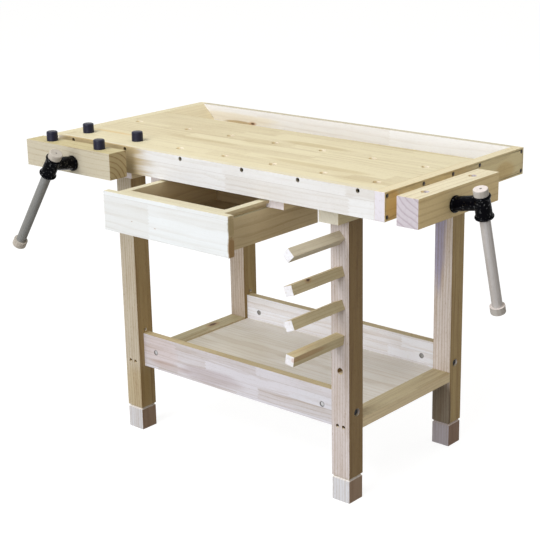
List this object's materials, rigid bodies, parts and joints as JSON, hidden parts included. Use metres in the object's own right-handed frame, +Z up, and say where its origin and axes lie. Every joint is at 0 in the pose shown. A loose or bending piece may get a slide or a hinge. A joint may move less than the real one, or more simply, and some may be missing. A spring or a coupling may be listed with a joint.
{
  "type": "woodworking bench with vises",
  "caption": "Wooden workbench with a front and an end screw vise, round dog holes, a rear tool well, a hanging drawer, a low shelf and square support pegs.",
  "frame": {"origin": "middle of the footprint of the whole bench, with its vises, on the floor", "axes": "+X to the right along the bench seen from the front, +Y from the front to the back, +Z up"},
  "size_m": [1.2388, 0.7416, 0.8255],
  "materials": {
    "slab_wood": "oiled",
    "rim_wood": "oiled",
    "frame_wood": "oiled",
    "panel_wood": "raw plywood",
    "drawer_wood": "oiled",
    "handle_wood": "raw",
    "screw_steel": "turned",
    "zinc": "zinc plated",
    "black_casting": "gloss paint",
    "dog_black": "matt"
  },
  "bodies": {
    "bench": {"barrel_nuts": "zinc", "end_bracket": "black_casting", "end_cap_left": "slab_wood", "end_cap_right": "slab_wood", "foot_front_left": "frame_wood", "foot_front_right": "frame_wood", "foot_rear_left": "frame_wood", "foot_rear_right": "frame_wood", "frame_screws": "zinc", "front_apron": "rim_wood", "front_bearer": "rim_wood", "front_bracket": "black_casting", "leg_front_left": "frame_wood", "leg_front_right": "frame_wood", "leg_rear_left": "frame_wood", "leg_rear_right": "frame_wood", "rear_rail": "rim_wood", "runner_left": "frame_wood", "runner_right": "frame_wood", "shelf_panel": "panel_wood", "side_rail_left": "frame_wood", "side_rail_right": "frame_wood", "stretcher_bolts": "zinc", "stretcher_front": "frame_wood", "stretcher_rear": "frame_wood", "top_rail_left": "frame_wood", "top_rail_right": "frame_wood", "well_floor": "slab_wood", "well_rail": "rim_wood", "well_ramp": "slab_wood", "worktop_panel": "slab_wood"},
    "drawer": {"drawer_front": "drawer_wood", "drawer_lining": "drawer_wood", "drawer_side_left": "drawer_wood", "drawer_side_right": "drawer_wood", "drawer_back": "drawer_wood", "drawer_bottom": "panel_wood"},
    "front_jaw": {"front_jaw": "slab_wood", "front_guide_rods": "screw_steel"},
    "front_screw": {"front_hub": "black_casting", "front_spindle": "screw_steel", "front_collar": "screw_steel"},
    "front_handle": {"front_handle_bar": "handle_wood", "front_handle_caps": "handle_wood"},
    "end_jaw": {"end_jaw": "slab_wood", "end_guide_rods": "screw_steel"},
    "end_screw": {"end_hub": "black_casting", "end_spindle": "screw_steel", "end_collar": "screw_steel"},
    "end_handle": {"end_handle_bar": "handle_wood", "end_handle_caps": "handle_wood"},
    "dog_1": {"dog_1": "dog_black"},
    "peg_1": {"peg_1": "frame_wood"},
    "dog_2": {"dog_2": "dog_black"},
    "peg_2": {"peg_2": "frame_wood"},
    "dog_3": {"dog_3": "dog_black"},
    "peg_3": {"peg_3": "frame_wood"},
    "dog_4": {"dog_4": "dog_black"},
    "peg_4": {"peg_4": "frame_wood"}
  },
  "joints": [
    {"name": "drawer_slide", "type": "slide", "parent": "bench", "child": "drawer", "axis": [0, -1, 0], "range_m": [-0.1517, 0.13]},
    {"name": "front_jaw_slide", "type": "slide", "parent": "bench", "child": "front_jaw", "axis": [0, -1, 0], "range_m": [-0.0342, 0.076]},
    {"name": "front_screw_turn", "type": "hinge", "parent": "front_jaw", "child": "front_screw", "pos_m": [-0.43885, -0.3495, 0.763], "axis": [0, -1, 0], "range_deg": [-2461, 5470]},
    {"name": "front_bar_slide", "type": "slide", "parent": "front_screw", "child": "front_handle", "axis": [0.549, 0, 0.8358], "range_m": [0, 0.2191]},
    {"name": "end_jaw_slide", "type": "slide", "parent": "bench", "child": "end_jaw", "axis": [1, 0, 0], "range_m": [-0.0283, 0.0819]},
    {"name": "end_screw_turn", "type": "hinge", "parent": "end_jaw", "child": "end_screw", "pos_m": [0.59805, -0.0522, 0.761], "axis": [1, 0, 0], "range_deg": [-2036, 5895]},
    {"name": "end_bar_slide", "type": "slide", "parent": "end_screw", "child": "end_handle", "axis": [0, -0.2807, 0.9598], "range_m": [0, 0.2191]},
    {"name": "dog_1_lift", "type": "slide", "parent": "bench", "child": "dog_1", "axis": [0, 0, 1], "range_m": [0, 0.045]},
    {"name": "dog_2_lift", "type": "slide", "parent": "bench", "child": "dog_2", "axis": [0, 0, 1], "range_m": [0, 0.045]},
    {"name": "dog_3_lift", "type": "slide", "parent": "front_jaw", "child": "dog_3", "axis": [0, 0, 1], "range_m": [0, 0.045]},
    {"name": "dog_4_lift", "type": "slide", "parent": "front_jaw", "child": "dog_4", "axis": [0, 0, 1], "range_m": [0, 0.045]},
    {"name": "peg_1_turn", "type": "hinge", "parent": "bench", "child": "peg_1", "pos_m": [0.25915, -0.1082, 0.654], "axis": [0, -1, 0], "continuous": true},
    {"name": "peg_2_turn", "type": "hinge", "parent": "bench", "child": "peg_2", "pos_m": [0.25915, -0.1082, 0.5735], "axis": [0, -1, 0], "continuous": true},
    {"name": "peg_3_turn", "type": "hinge", "parent": "bench", "child": "peg_3", "pos_m": [0.25915, -0.1082, 0.493], "axis": [0, -1, 0], "continuous": true},
    {"name": "peg_4_turn", "type": "hinge", "parent": "bench", "child": "peg_4", "pos_m": [0.25915, -0.1082, 0.4125], "axis": [0, -1, 0], "continuous": true}
  ],
  "couplings": [
    {"joint": "front_jaw_slide", "follows": "front_screw_turn", "m_per_rad": 0.00079577},
    {"joint": "end_jaw_slide", "follows": "end_screw_turn", "m_per_rad": 0.00079577}
  ]
}
